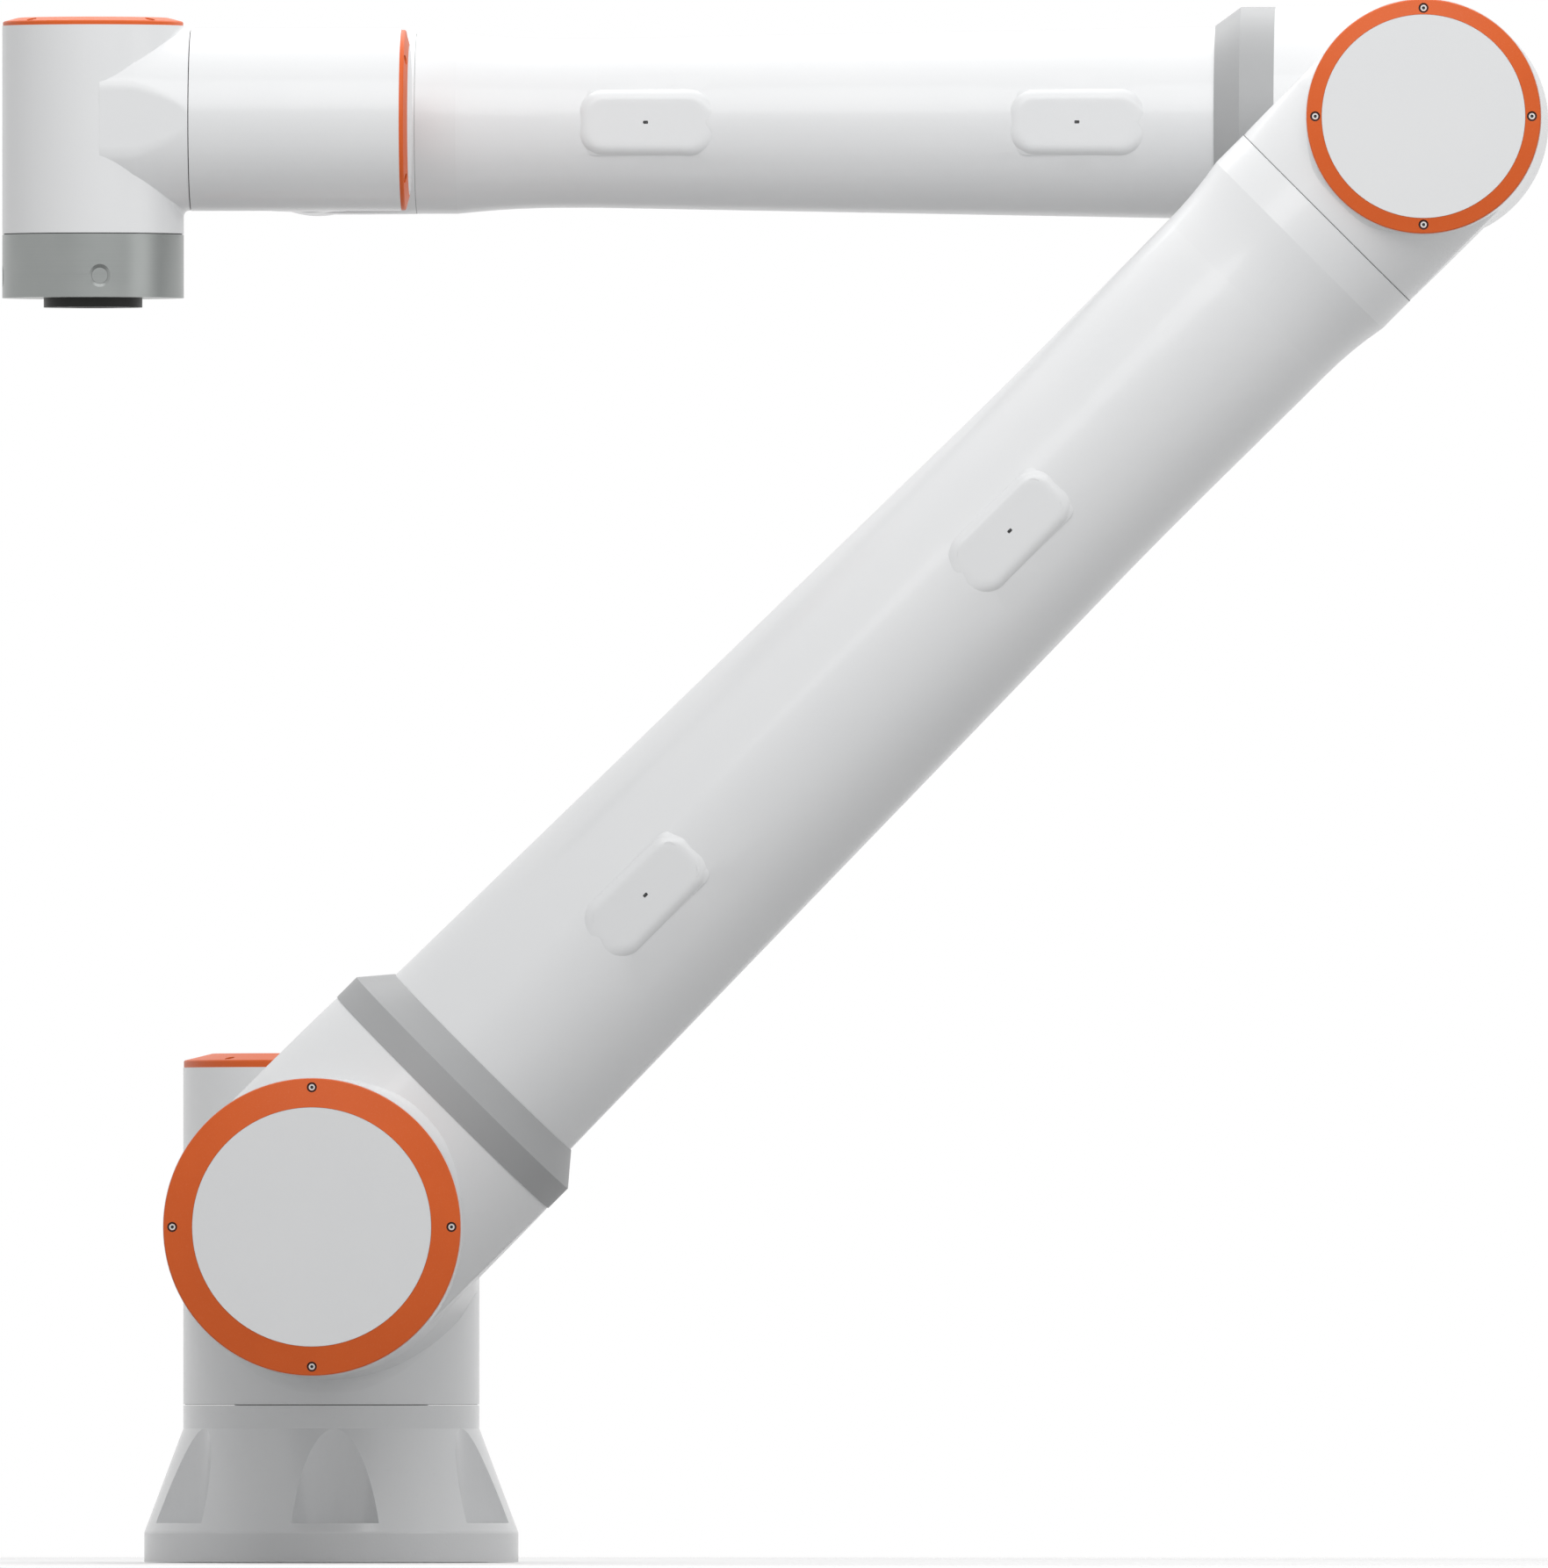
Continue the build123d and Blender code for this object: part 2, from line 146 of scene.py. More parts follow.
class Shading:
    """A node tree of a material or a world, and the one method that adds a node to it."""

    # Places of a colour mix's share and two colours among its inputs, and of its colour among its outputs
    MIX_INPUTS, MIX_COLOUR = (0, 6, 7), 2

    def __init__(self, tree):
        self.tree = tree

    def node(self, kind, settings=(), inputs=(), output=0):
        made = self.tree.nodes.new(kind)
        for name, setting in dict(settings).items():
            setattr(made, name, setting)
        for name, given in dict(inputs).items():
            self.give(made.inputs[name], given)
        return Value(self, made.outputs[output])

    def give(self, socket, given):
        """Set a socket to a value, or link it to one."""
        if isinstance(given, Value):
            self.tree.links.new(given.socket, socket)
        else:
            socket.default_value = given

    def mix(self, share, first, second):
        """A colour that goes from first to second as share goes from 0 to 1."""
        inputs = dict(zip(self.MIX_INPUTS, (share, first, second)))
        return self.node("ShaderNodeMix", {"data_type": "RGBA"}, inputs, self.MIX_COLOUR)


def shade(level, tint=(1, 1, 1)):
    """A colour as a socket takes it, at a level and with a tint."""
    return (level * tint[0], level * tint[1], level * tint[2], 1)


class Finish(Shading):
    """A material with a Principled shader, and what its patterns are drawn with."""

    def __init__(self, name, **fixed):
        self.material = bpy.data.materials.new(name)
        self.material.use_nodes = True
        super().__init__(self.material.node_tree)
        self.principled = self.tree.nodes["Principled BSDF"]
        self.place = self.node("ShaderNodeTexCoord", output="Object")
        for socket, given in fixed.items():
            self.set(socket.replace("_", " "), given)

    def set(self, socket, given):
        self.give(self.principled.inputs[socket], given)

    def noise(self, size, detail=2.0, roughness=0.5, stretch=(1, 1, 1), at=(0, 0, 0)):
        """Cloudy noise from 0 to 1 whose patches are about size metres across."""
        scale = tuple(one / size for one in stretch)
        place = self.node("ShaderNodeMapping", {}, {"Vector": self.place, "Location": at, "Scale": scale})
        inputs = {"Vector": place, "Scale": 1.0, "Detail": detail, "Roughness": roughness}
        return self.node("ShaderNodeTexNoise", {}, inputs, "Fac")

    def bump(self, height, depth):
        """Raise the surface by height, a pattern from 0 to 1, times depth in metres."""
        inputs = {"Height": height, "Distance": depth, "Strength": 1.0}
        self.set("Normal", self.node("ShaderNodeBump", {}, inputs, "Normal"))


def white_paint():
    """Semi-gloss white powder coat: orange peel, faint clouds in the tone, a little dust."""
    paint = Finish("white_powder_coat", IOR=1.5, Coat_Roughness=0.12)
    clouds = paint.noise(90 * MM, 3)
    dust = paint.noise(2.2 * MM, 4, 0.7).part(0.62, 0.78)
    clean = paint.mix(clouds, (0.755, 0.765, 0.775, 1), (0.785, 0.79, 0.795, 1))
    paint.set("Base Color", paint.mix(dust * 0.06, clean, (0.45, 0.44, 0.42, 1)))
    smears = paint.noise(40 * MM, 3, 0.6, (1, 1, 0.25), (3, 1, 2))
    paint.set("Roughness", 0.3 + smears * 0.12 + dust * 0.1)
    paint.set("Coat Weight", 0.25 + clouds * 0.1)
    peel = paint.noise(1.6 * MM, 1, 0.4)
    paint.bump(peel, 0.012 * MM)
    return paint.material


def foot_paint():
    """The foot's casting under its paint: a white a little darker than the arm's, over a sand-cast grain that
    glitters a little.
    """
    paint = Finish("white_over_casting", IOR=1.5, Coat_Roughness=0.1)
    clouds = paint.noise(70 * MM, 3)
    dust = paint.noise(2.6 * MM, 4, 0.7).part(0.6, 0.78)
    clean = paint.mix(clouds, (0.735, 0.745, 0.755, 1), (0.77, 0.775, 0.78, 1))
    paint.set("Base Color", paint.mix(dust * 0.1, clean, (0.42, 0.41, 0.39, 1)))
    paint.set("Roughness", 0.26 + clouds * 0.1 + dust * 0.12)
    paint.set("Coat Weight", 0.35 + clouds * 0.1)
    grain = paint.noise(1.4 * MM, 2, 0.6)
    paint.bump(grain, 0.07 * MM)
    return paint.material


def orange_paint():
    """Satin orange: fine peel and a slightly worn tone."""
    paint = Finish("orange_satin", IOR=1.5, Specular_IOR_Level=0.22)
    clouds = paint.noise(30 * MM, 3)
    specks = paint.noise(0.9 * MM, 2).part(0.55, 0.75)
    body = paint.mix(clouds, (0.68, 0.112, 0.02, 1), (0.74, 0.13, 0.024, 1))
    paint.set("Base Color", paint.mix(specks * 0.1, body, (0.8, 0.3, 0.16, 1)))
    paint.set("Roughness", 0.36 + clouds * 0.1)
    paint.bump(paint.noise(0.8 * MM, 2), 0.01 * MM)
    return paint.material


def collar_paint():
    """Satin grey of the two cast collars."""
    paint = Finish("grey_satin", IOR=1.5)
    clouds = paint.noise(60 * MM, 3)
    grain = paint.noise(0.7 * MM, 2)
    paint.set("Base Color", paint.mix(clouds, (0.36, 0.365, 0.37, 1), (0.4, 0.405, 0.41, 1)))
    paint.set("Roughness", 0.42 + grain * 0.1)
    paint.bump(grain, 0.012 * MM)
    return paint.material


def tool_metal():
    """Anodised aluminium, turned on a lathe: fine marks run round it."""
    metal = Finish("turned_aluminium", Metallic=0.9)
    marks = metal.noise(0.35 * MM, 3, 0.6, (0.002, 0.002, 1))
    clouds = metal.noise(25 * MM, 3)
    tone = metal.mix(clouds, (0.25, 0.265, 0.26, 1), (0.3, 0.31, 0.305, 1))
    metal.set("Base Color", metal.mix(marks * 0.25, tone, (0.38, 0.395, 0.385, 1)))
    metal.set("Roughness", 0.24 + marks * 0.14)
    metal.bump(marks, 0.004 * MM)
    return metal.material


def black_anodised():
    """Hard anodised tool flange: black with faint turning marks."""
    metal = Finish("black_anodised", Metallic=0.4)
    marks = metal.noise(0.4 * MM, 3, 0.6, (0.004, 0.004, 1))
    dust = metal.noise(1.4 * MM, 4, 0.7).part(0.6, 0.8)
    metal.set("Base Color", metal.mix(dust * 0.2, (0.014, 0.0145, 0.013, 1), (0.08, 0.08, 0.075, 1)))
    metal.set("Roughness", 0.38 + marks * 0.15)
    metal.bump(marks, 0.004 * MM)
    return metal.material


def seal_rubber():
    """Matt grey rubber with a little dust caught on it."""
    rubber = Finish("seal_rubber", IOR=1.5)
    dust = rubber.noise(3 * MM, 4, 0.7).part(0.5, 0.8)
    rubber.set("Base Color", rubber.mix(dust * 0.3, (0.13, 0.132, 0.135, 1), (0.26, 0.258, 0.25, 1)))
    rubber.set("Roughness", 0.72 + dust * 0.15)
    rubber.bump(rubber.noise(0.5 * MM, 2), 0.01 * MM)
    return rubber.material


def socket_plastic():
    """Black moulded plastic of the cable sockets, finely spark-eroded."""
    plastic = Finish("black_plastic", IOR=1.46)
    grain = plastic.noise(0.35 * MM, 2)
    scuffs = plastic.noise(6 * MM, 4, 0.7).part(0.58, 0.8)
    plastic.set("Base Color", plastic.mix(scuffs * 0.3, (0.022, 0.022, 0.024, 1), (0.07, 0.07, 0.072, 1)))
    plastic.set("Roughness", 0.45 + grain * 0.15)
    plastic.bump(grain, 0.015 * MM)
    return plastic.material


def screw_steel():
    """Zinc-plated steel of the cap screws."""
    steel = Finish("zinc_steel", Metallic=1.0)
    clouds = steel.noise(1.2 * MM, 3)
    steel.set("Base Color", steel.mix(clouds, (0.5, 0.5, 0.49, 1), (0.68, 0.68, 0.67, 1)))
    steel.set("Roughness", 0.26 + clouds * 0.16)
    steel.bump(steel.noise(0.15 * MM, 2), 0.002 * MM)
    return steel.material


def contact_brass():
    """Gold-flashed brass of the contact pins."""
    brass = Finish("contact_brass", Metallic=1.0)
    clouds = brass.noise(0.8 * MM, 3)
    brass.set("Base Color", brass.mix(clouds, (0.62, 0.44, 0.16, 1), (0.75, 0.55, 0.24, 1)))
    brass.set("Roughness", 0.22 + clouds * 0.14)
    return brass.material


def paint_frame(finishes):
    """Give every CAD node its own finish, or else the one that its slot in the record stands for."""
    for row in frame["record"]["subparts"]:
        slots = frame["nodes"][row["node"]].data.materials
        slots.clear()
        slots.append(finishes.get(row["node"], finishes[row["material_slot"]]))


class Growth:
    """A Geometry Nodes tree with named inputs for its sizes."""

    def __init__(self, name, sizes):
        self.tree = bpy.data.node_groups.new(name, "GeometryNodeTree")
        self.tree.interface.new_socket("Geometry", in_out="OUTPUT", socket_type="NodeSocketGeometry")
        for size, kind in sizes.items():
            self.tree.interface.new_socket(size, in_out="INPUT", socket_type=f"NodeSocket{kind}")
        self.sizes = self.tree.nodes.new("NodeGroupInput").outputs

    def node(self, kind, settings=(), inputs=()):
        """Add a node: its settings first, then its sockets' values or links."""
        made = self.tree.nodes.new(kind)
        for name, setting in dict(settings).items():
            setattr(made, name, setting)
        for name, given in dict(inputs).items():
            if isinstance(given, bpy.types.NodeSocket):
                self.tree.links.new(given, made.inputs[name])
            else:
                made.inputs[name].default_value = given
        return made.outputs

    def math(self, operation, first, second):
        return self.node("ShaderNodeMath", {"operation": operation}, {0: first, 1: second})[0]

    def join(self, *parts):
        joined = self.tree.nodes.new("GeometryNodeJoinGeometry")
        for part in parts:
            self.tree.links.new(part, joined.inputs[0])
        return joined.outputs[0]

    def vector(self, **parts):
        return self.node("ShaderNodeCombineXYZ", {}, parts)[0]

    def lift(self, geometry, rise):
        """Move a geometry up by a rise."""
        moved = {"Geometry": geometry, "Translation": self.vector(Z=rise)}
        return self.node("GeometryNodeTransform", {}, moved)[0]

    def cylinder(self, steps, radius, depth):
        sizes = {"Vertices": steps, "Radius": radius, "Depth": depth}
        return self.node("GeometryNodeMeshCylinder", {}, sizes)[0]

    def circle(self, steps, radius, **settings):
        return self.node("GeometryNodeMeshCircle", settings, {"Vertices": steps, "Radius": radius})[0]

    def extrude(self, rise, **given):
        """Push faces up by a rise: the geometry, and the faces on top."""
        pushed = {**given, "Offset": self.vector(Z=rise), "Offset Scale": 1.0}
        return self.node("GeometryNodeExtrudeMesh", {}, pushed)

    def spread(self, points, geometry):
        """The geometry at each point."""
        return self.node("GeometryNodeInstanceOnPoints", {}, {"Points": points, "Instance": geometry})[0]

    def turned_circle(self):
        """The points of the tree's circle, at its count, radius and turn."""
        circle = self.circle(self.sizes["Count"], self.sizes["Circle Radius"])
        turned = {"Geometry": circle, "Rotation": self.vector(Z=self.sizes["Turn"])}
        return self.node("GeometryNodeTransform", {}, turned)[0]

    def end(self, geometry):
        """Close the tree: real geometry with its own material."""
        real = self.node("GeometryNodeRealizeInstances", {}, {"Geometry": geometry})[0]
        dressed = {"Geometry": real, "Material": self.sizes["Material"]}
        self.node("NodeGroupOutput", {}, {"Geometry": self.node("GeometryNodeSetMaterial", {}, dressed)[0]})

    def grow(self, name, given, place):
        """A plain mesh object: what the tree makes of the given sizes, moved to its place by a matrix."""
        holder = bpy.data.objects.new(name, bpy.data.meshes.new(name))
        bpy.context.scene.collection.objects.link(holder)
        modifier = holder.modifiers.new("growth", "NODES")
        modifier.node_group = self.tree
        for item in self.tree.interface.items_tree:
            if item.in_out == "INPUT":
                modifier[item.identifier] = given[item.name]
        evaluated = holder.evaluated_get(bpy.context.evaluated_depsgraph_get())
        grown = bpy.data.meshes.new_from_object(evaluated)
        holder.modifiers.remove(modifier)
        holder.data = grown
        grown.transform(place)
        return holder


def screw_tree():
    """Socket-head screws on a circle, each in its recess."""
    sizes = {"Count": "Int", "Circle Radius": "Float", "Turn": "Float", "Head Radius": "Float",
             "Head Height": "Float", "Head Edge": "Float", "Socket Radius": "Float",
             "Socket Depth": "Float", "Material": "Material"}
    tree = Growth("cap_screws", sizes)
    given = tree.sizes
    disc = tree.circle(ROUND_STEPS, given["Head Radius"], fill_type="NGON")
    side = tree.extrude(tree.math("SUBTRACT", given["Head Height"], given["Head Edge"]), Mesh=disc)
    edge = tree.extrude(given["Head Edge"], Mesh=side[0], Selection=side[1])
    inner = tree.math("SUBTRACT", given["Head Radius"], given["Head Edge"])
    share = tree.math("DIVIDE", inner, given["Head Radius"])
    tapered = {"Geometry": edge[0], "Selection": edge[1], "Scale": share}
    rim = tree.node("GeometryNodeScaleElements", {}, tapered)[0]
    under = tree.node("GeometryNodeFlipFaces", {}, {"Mesh": disc})[0]
    whole = {"Geometry": tree.join(rim, under), "Distance": MERGE_DISTANCE}
    head = tree.node("GeometryNodeMergeByDistance", {}, whole)[0]
    key = tree.cylinder(KEY_SIDES, given["Socket Radius"], tree.math("MULTIPLY", given["Socket Depth"], 2.0))
    cut = {"Mesh 1": head, "Mesh 2": tree.lift(key, given["Head Height"])}
    screw = tree.node("GeometryNodeMeshBoolean", {"operation": "DIFFERENCE"}, cut)[0]
    tree.end(tree.spread(tree.turned_circle(), screw))
    return tree


@dataclass
class Size:
    """One size of joint module, in metres: barrel, height to the cap, cap ring and branch flare."""
    radius: float
    height: float
    cone: float
    screw_inset: float
    flare: float
    flare_start: float


BIG = Size(95 * MM, 103 * MM, 4.5 * MM, 5.7 * MM, 7.5 * MM, 45.5 * MM)
MIDDLE = Size(75 * MM, 77.5 * MM, 2.5 * MM, 5.6 * MM, 6 * MM, 35.5 * MM)
SMALL = Size(58 * MM, 60.2 * MM, 2.5 * MM, 4.2 * MM, 4.6 * MM, 27.5 * MM)


@dataclass
class Cap:
    """A capped housing: its nodes' name, body, the way cap and branch face, size, and branch's reach."""
    name: str
    body: str
    facing: Vector
    branch: Vector
    size: Size
    reach: float

    def place(self, rise):
        """A matrix that stands on the cap's axis, rise above the ring's foot: Z out, X along the branch."""
        low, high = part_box(f"{self.name}_cap_ring")
        half = (high - low).dot(Vector([abs(one) for one in self.facing])) / 2
        foot = (low + high) / 2 - self.facing * half
        turn = Matrix((self.branch, self.facing.cross(self.branch), self.facing)).transposed()
        return Matrix.Translation(foot + self.facing * rise) @ turn.to_4x4()

    def ring(self):
        """The cap ring's outer radius and its height."""
        low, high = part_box(f"{self.name}_cap_ring")
        sizes = high - low
        return max(sizes) / 2, abs(sizes.dot(self.facing))


CAPS = (
    Cap("shoulder", "shoulder", UP, FRONT, BIG, 131.4 * MM),
    Cap("upper_arm", "upper_arm", FRONT, ARM_ALONG, BIG, 112.7 * MM),
    Cap("elbow", "upper_arm", FRONT, -ARM_ALONG, MIDDLE, 89.6 * MM),
    Cap("forearm_wrist", "forearm", BACK, RIGHT, SMALL, 65.3 * MM),
    Cap("wrist_1", "wrist_1", RIGHT, BACK, SMALL, 62.4 * MM),
    Cap("wrist_2", "wrist_2", UP, RIGHT, SMALL, 62.4 * MM),
)


def finish_mesh(name, body, material, points, faces, smooth=30):
    """A plain piece from points and faces: faces outwards, smooth but for its real edges."""
    mesh = bpy.data.meshes.new(name)
    mesh.from_pydata([tuple(point) for point in points], [], faces)
    work = bmesh.new()
    work.from_mesh(mesh)
    bmesh.ops.recalc_face_normals(work, faces=work.faces)
    work.to_mesh(mesh)
    work.free()
    mesh.shade_smooth()
    mesh.set_sharp_from_angle(angle=radians(smooth))
    mesh.materials.append(material)
    piece = bpy.data.objects.new(name, mesh)
    bpy.context.scene.collection.objects.link(piece)
    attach(piece, body)
    return piece


def tube_faces(rings, steps, closed=True):
    """Quads between rings of points, and a face over each end where the tube is closed."""
    faces = [(ring * steps + k, ring * steps + (k + 1) % steps,
              (ring + 1) * steps + (k + 1) % steps, (ring + 1) * steps + k)
             for ring in range(rings - 1) for k in range(steps)]
    if closed:
        faces += [tuple(range(steps))[::-1], tuple(range((rings - 1) * steps, rings * steps))]
    return faces


def branch_flare(cap, paint):
    """The cone by which a branch widens into its barrel, cut off flat at its cheeks and under the cap."""
    size = cap.size
    cheek = size.radius - CHEEK_STEP
    root, tip = cheek + size.flare, cheek + FLARE_TIP
    length = cap.reach - size.flare_start
    stations = [(0, root)]
    for step in range(FLARE_STATIONS + 1):
        share = step / FLARE_STATIONS
        stations.append((size.flare_start + share * length, root + share * (tip - root)))
    points = []
    for along, radius in stations:
        corner = acos(cheek / radius)
        for half in (0, pi):
            for step in range(FLARE_STEPS + 1):
                turn = half + corner + (pi - 2 * corner) * step / FLARE_STEPS
                rise = min(radius * sin(turn), size.height - CHEEK_STEP)
                points.append(Vector((along, radius * cos(turn), rise)))
            edge = radius * sin(half + pi - corner)
            out = radius * cos(half + pi - corner)
            for step in range(1, CHEEK_STEPS):
                points.append(Vector((along, out, edge * (1 - 2 * step / CHEEK_STEPS))))
    place = cap.place(-size.height)
    faces = tube_faces(len(stations), 2 * (FLARE_STEPS + CHEEK_STEPS))
    finish_mesh(f"{cap.name}_branch_flare", cap.body, paint,
                [place @ point for point in points], faces)


@dataclass
class Tube:
    """One link tube: its body, the joint it is measured from, its taper, pads and far seam's hairline."""
    name: str
    body: str
    root: Vector
    along: Vector
    start: float
    start_radius: float
    end: float
    end_radius: float
    pads: tuple
    hairline: str
    seam: float
    seam_radius: float

    def radius(self, along):
        share = (along - self.start) / (self.end - self.start)
        return self.start_radius + (self.end_radius - self.start_radius) * share


TUBES = (
    Tube("upper_arm", "upper_arm", Vector((0, -245, 214)) * MM, ARM_ALONG,
         149 * MM, 78.8 * MM, 657 * MM, 70.1 * MM, (299 * MM, 627 * MM),
         "elbow_hairline", (1000 - 89.6) * MM, 75 * MM),
    Tube("forearm", "forearm", Vector((707.107, -73, 921.107)) * MM, LEFT,
         138 * MM, 61.2 * MM, 533 * MM, 53.8 * MM, (225.5 * MM, 501.6 * MM),
         "forearm_hairline", (715 - 65.3) * MM, 57.6 * MM),
)


def hairline(tube, rubber):
    """A thin dark ring in the joint between a tube and the housing at its far end."""
    turn = tube.along.to_track_quat("Z", "Y").to_matrix().to_4x4()
    place = Matrix.Translation(tube.root + tube.along * tube.seam) @ turn
    points = []
    for rise, out in ((-0.5, -1), (-0.5, 1), (0.5, 1), (0.5, -1)):
        for step in range(HAIRLINE_STEPS):
            angle = 2 * pi * step / HAIRLINE_STEPS
            reach = tube.seam_radius + (HAIRLINE_STAND if out > 0 else -HAIRLINE_WIDTH)
            points.append(place @ Vector((reach * cos(angle), reach * sin(angle), rise * HAIRLINE_WIDTH)))
    faces = tube_faces(4, HAIRLINE_STEPS, closed=False)
    last = 3 * HAIRLINE_STEPS
    for k in range(HAIRLINE_STEPS):
        following = (k + 1) % HAIRLINE_STEPS
        faces.append((last + k, last + following, following, k))
    finish_mesh(tube.hairline, tube.body, rubber, points, faces)


def rounded_outline(length, width, corner, steps):
    """Points of a rectangle with round corners, from its middle, anticlockwise."""
    points = []
    for quarter in range(4):
        side_x = (1, -1, -1, 1)[quarter] * (length / 2 - corner)
        side_y = (1, 1, -1, -1)[quarter] * (width / 2 - corner)
        for step in range(steps + 1):
            turn = pi / 2 * (quarter + step / steps)
            points.append((side_x + corner * cos(turn), side_y + corner * sin(turn)))
    return points


def pad_cover(tube, number, facing, paint):
    """The soft-edged skin of a raised pad, from its round outline on the tube up to its flat top."""
    outline = rounded_outline(PAD_LENGTH, PAD_WIDTH, PAD_CORNER, PAD_STEPS)
    centre = tube.pads[number]
    top = tube.radius(centre) + PAD_RISE
    side = tube.along.cross(facing)
    points = []
    for share in PAD_SHARES:
        for out_x, out_y in outline:
            reach = hypot(out_x, out_y)
            hole_x, hole_y = PAD_HOLE * out_x / reach, PAD_HOLE * out_y / reach
            x, y = out_x + (hole_x - out_x) * share, out_y + (hole_y - out_y) * share
            gap_x, gap_y = abs(x) - (PAD_LENGTH / 2 - PAD_CORNER), abs(y) - (PAD_WIDTH / 2 - PAD_CORNER)
            outside = hypot(max(gap_x, 0), max(gap_y, 0)) + min(max(gap_x, gap_y), 0)
            inset = min(max(PAD_CORNER - outside, 0) / PAD_SLOPE_WIDTH, 1)
            surface = sqrt(tube.radius(centre + x) ** 2 - y ** 2) - PAD_SINK
            height = surface + (1 - (1 - inset) ** 2) * (top - surface)
            points.append(tube.root + tube.along * (centre + x) + side * y + facing * height)
    faces = tube_faces(len(PAD_SHARES), len(outline), closed=False)
    where = "front" if facing is FRONT else "back"
    finish_mesh(f"{tube.name}_pad_{number + 1}_{where}", tube.body, paint, points, faces, 60)


def pin_tree():
    """Round contact pins on a circle, with one in its middle."""
    sizes = {"Count": "Int", "Circle Radius": "Float", "Pin Radius": "Float", "Pin Length": "Float",
             "Material": "Material"}
    tree = Growth("contact_pins", sizes)
    given = tree.sizes
    pin = tree.cylinder(PIN_STEPS, given["Pin Radius"], given["Pin Length"])
    ball = {"Segments": PIN_STEPS, "Rings": PIN_TIP_STEPS, "Radius": given["Pin Radius"]}
    tip = tree.node("GeometryNodeMeshUVSphere", {}, ball)[0]
    high_tip = tree.lift(tip, tree.math("MULTIPLY", given["Pin Length"], 0.5))
    both = {"Mesh 2": tree.join(pin, high_tip)}
    whole = tree.node("GeometryNodeMeshBoolean", {"operation": "UNION"}, both)[0]
    circle = tree.circle(given["Count"], given["Circle Radius"])
    middle = tree.node("GeometryNodeMeshLine", {}, {"Count": 1})[0]
    tree.end(tree.spread(tree.join(circle, middle), whole))
    return tree


@dataclass
class Socket:
    """A cable socket: its body, the middle of its mouth, where it faces, and its pins."""
    name: str
    body: str
    mouth: Vector
    out: Vector
    depth: float
    length: float
    pin: float
    circle: float
    count: int


def sideways(turn):
    """The level direction at an angle from the front, towards the right."""
    return Vector((sin(radians(turn)), -cos(radians(turn)), 0))


SOCKETS = (
    Socket("cable_inlet", "base", sideways(153.2) * 111.6 * MM + UP * 52 * MM, sideways(153.2),
           12 * MM, 8 * MM, 1.25 * MM, 6.5 * MM, 6),
    Socket("tool_socket", "tool", Vector((-144.893, -210, 834.107)) * MM + sideways(96.5) * 58 * MM,
           sideways(96.5), 7 * MM, 4 * MM, 0.5 * MM, 2.6 * MM, 7),
)


def make_pins(brass):
    """Contact pins in the cable inlet and in the tool's socket."""
    tree = pin_tree()
    for socket in SOCKETS:
        given = {"Count": socket.count, "Circle Radius": socket.circle, "Pin Radius": socket.pin,
                 "Pin Length": socket.length, "Material": brass}
        turn = socket.out.to_track_quat("Z", "Y").to_matrix().to_4x4()
        floor = socket.mouth - socket.out * (socket.depth - socket.length / 2)
        pins = tree.grow(f"{socket.name}_pins", given, Matrix.Translation(floor) @ turn)
        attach(pins, socket.body)


def recess_shade_tree():
    """Flat black rings on a circle: painted shade that stands for the shadow in each screw's recess."""
    sizes = {"Count": "Int", "Circle Radius": "Float", "Turn": "Float", "Shade Ring Radius": "Float",
             "Shade Ring Height": "Float", "Material": "Material"}
    tree = Growth("cap_washers", sizes)
    given = tree.sizes
    tree.end(tree.spread(tree.turned_circle(), tree.cylinder(
        ROUND_STEPS, given["Shade Ring Radius"], given["Shade Ring Height"])))
    return tree


def make_recess_shades(plastic):
    """Black rings under the cap screws: painted shade for the shadow in their recesses."""
    tree = recess_shade_tree()
    for cap in CAPS:
        radius, height = cap.ring()
        given = {"Count": SCREWS_PER_RING, "Circle Radius": radius - cap.size.screw_inset, "Turn": SCREW_TURN,
                 "Shade Ring Radius": RECESS_SHADE_RADIUS, "Shade Ring Height": RECESS_SHADE_HEIGHT, "Material": plastic}
        floor = height - cap.size.cone - SCREW_RECESS_DEPTH
        recess_shades = tree.grow(f"{cap.name}_cap_washers", given, cap.place(floor + RECESS_SHADE_HEIGHT / 2))
        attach(recess_shades, cap.body)


def make_screws(steel):
    """The screws of every cap ring."""
    tree = screw_tree()
    for cap in CAPS:
        radius, height = cap.ring()
        given = {"Count": SCREWS_PER_RING, "Circle Radius": radius - cap.size.screw_inset, "Turn": SCREW_TURN,
                 "Head Radius": SCREW_HEAD_RADIUS, "Head Height": SCREW_HEAD_HEIGHT,
                 "Head Edge": SCREW_HEAD_EDGE, "Socket Radius": SCREW_SOCKET_RADIUS,
                 "Socket Depth": SCREW_SOCKET_DEPTH, "Material": steel}
        recess_floor = height - cap.size.cone - SCREW_RECESS_DEPTH
        screws = tree.grow(f"{cap.name}_cap_screws", given, cap.place(recess_floor))
        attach(screws, cap.body)


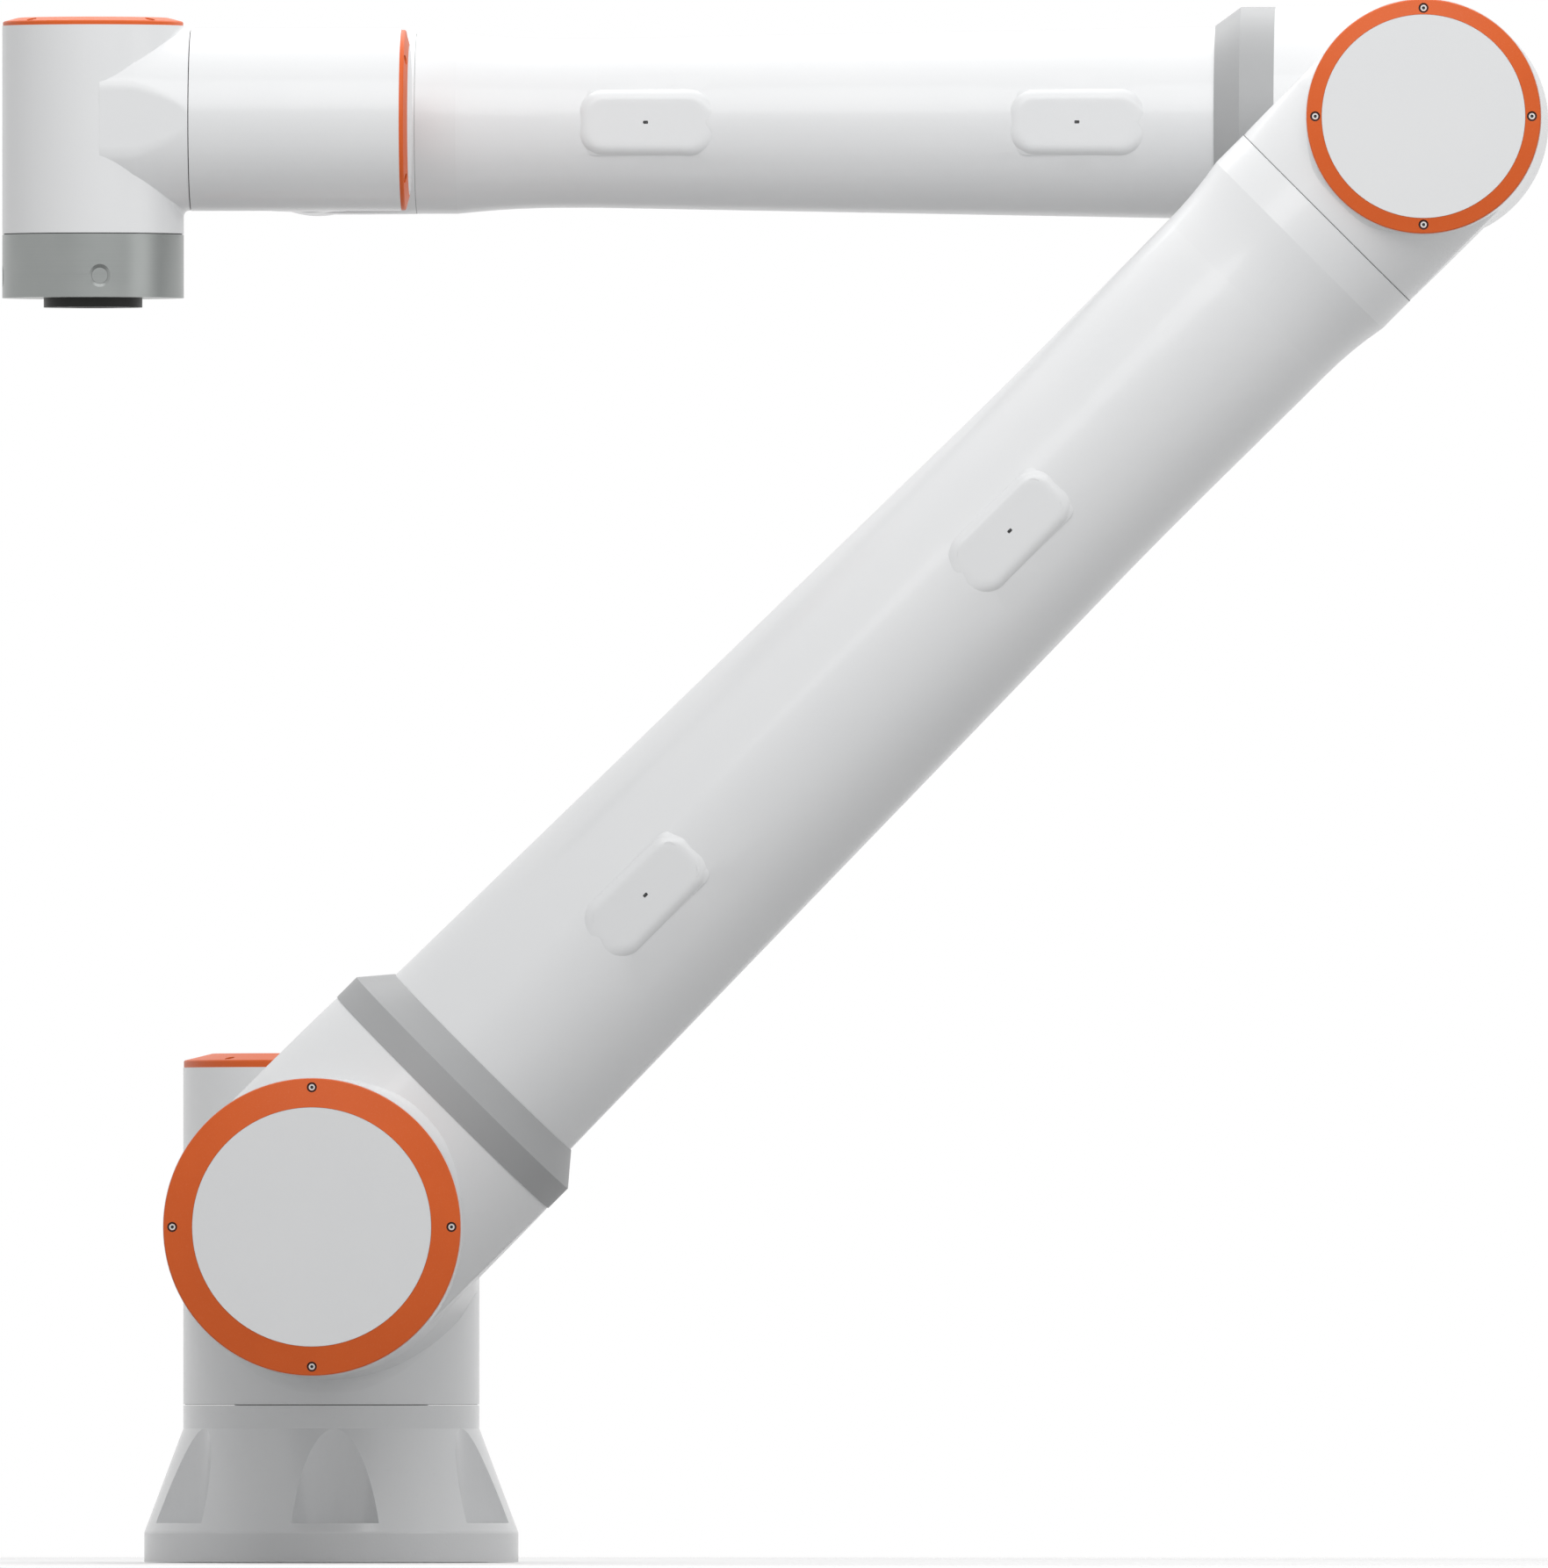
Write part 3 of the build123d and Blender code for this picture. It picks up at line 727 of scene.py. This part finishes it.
def make_camera():
    """A far camera with a long lens, so that the photograph's flat perspective and frame come out."""
    level = cos(CAMERA_DIP)
    towards = Vector((sin(CAMERA_TURN) * level, -cos(CAMERA_TURN) * level, -sin(CAMERA_DIP)))
    across = (PHOTO_WIDTH / 2 - ORIGIN_PIXEL[0]) / PIXELS_PER_MM * MM
    height = (ORIGIN_PIXEL[1] - PHOTO_HEIGHT / 2) / PIXELS_PER_MM * MM
    aim = Vector((across - sin(CAMERA_TURN) * AIM_DEPTH, AIM_DEPTH, height + sin(CAMERA_DIP) * AIM_DEPTH))
    camera = bpy.data.objects.new("camera", bpy.data.cameras.new("camera"))
    bpy.context.scene.collection.objects.link(camera)
    camera.location = aim + towards * CAMERA_DISTANCE
    camera.rotation_euler = towards.to_track_quat("Z", "Y").to_euler()
    camera.data.sensor_width = CAMERA_SENSOR
    camera.data.lens = CAMERA_SENSOR * CAMERA_DISTANCE / (PHOTO_HEIGHT / PIXELS_PER_MM * MM)
    camera.data.clip_end = 4 * CAMERA_DISTANCE
    bpy.context.scene.camera = camera


def make_world():
    """White to the eye and in reflections, and a softer level as light."""
    world = bpy.data.worlds.new("studio")
    world.use_nodes = True
    world.node_tree.nodes.clear()
    sky = Shading(world.node_tree)
    seen = sky.node("ShaderNodeLightPath", output="Is Camera Ray")
    for ray in ("Is Glossy Ray", "Is Transmission Ray"):
        seen = seen.larger(sky.node("ShaderNodeLightPath", output=ray))
    strength = WORLD_LIGHT + seen * (1 - WORLD_LIGHT)
    light = sky.node("ShaderNodeBackground", {}, {"Color": shade(1), "Strength": strength})
    sky.give(sky.tree.nodes.new("ShaderNodeOutputWorld").inputs["Surface"], light)
    bpy.context.scene.world = world


def make_floor():
    """A round pale floor that fades out at its rim."""
    mesh = bpy.data.meshes.new("floor")
    turns = [2 * pi * k / FLOOR_STEPS for k in range(FLOOR_STEPS)]
    ring = [(FLOOR_RADIUS * cos(turn), FLOOR_RADIUS * sin(turn), -FLOOR_DROP) for turn in turns]
    mesh.from_pydata(ring, [], [tuple(range(FLOOR_STEPS))])
    floor = bpy.data.objects.new("floor", mesh)
    bpy.context.scene.collection.objects.link(floor)
    pale = Finish("pale_floor", Roughness=0.9)
    seen = pale.node("ShaderNodeLightPath", output="Is Camera Ray")
    pale.set("Base Color", pale.mix(seen, shade(FLOOR_BOUNCE), shade(FLOOR_SEEN)))
    middle = pale.node("ShaderNodeVectorMath", {"operation": "LENGTH"}, {0: pale.place}, "Value")
    pale.set("Alpha", 1 - middle.part(*FLOOR_FADE))
    mesh.materials.append(pale.material)


def soft_light(name, place, width, depth, watts):
    """A rectangular soft light that faces the arm and isn't seen itself."""
    lamp = bpy.data.lights.new(name, "AREA")
    lamp.shape = "RECTANGLE"
    lamp.size, lamp.size_y = width, depth
    lamp.energy = watts
    light = bpy.data.objects.new(name, lamp)
    bpy.context.scene.collection.objects.link(light)
    light.location = place
    light.rotation_euler = (place - LIGHTS_AIM).to_track_quat("Z", "Y").to_euler()
    light.visible_camera = False


make_camera()
make_world()
make_floor()
for light in LIGHTS:
    soft_light(*light)
bpy.context.scene.view_settings.view_transform = "Standard"

steel = screw_steel()
white = white_paint()
black = socket_plastic()
dark = seal_rubber()
paint_frame({
    "base_foot": foot_paint(),
    "white_paint": white,
    "orange_ring": orange_paint(),
    "grey_collar": collar_paint(),
    "tool_metal": tool_metal(),
    "black_flange": black_anodised(),
    "seal_rubber": dark,
    "black_socket": black,
})
make_screws(steel)
# Painted shade: black rings stand for the shadow in the screw recesses
make_recess_shades(black)
make_pins(contact_brass())
for cap in CAPS:
    branch_flare(cap, white)
for tube in TUBES:
    hairline(tube, dark)
for tube in TUBES:
    for number in range(len(tube.pads)):
        for facing in (FRONT, BACK):
            pad_cover(tube, number, facing, white)
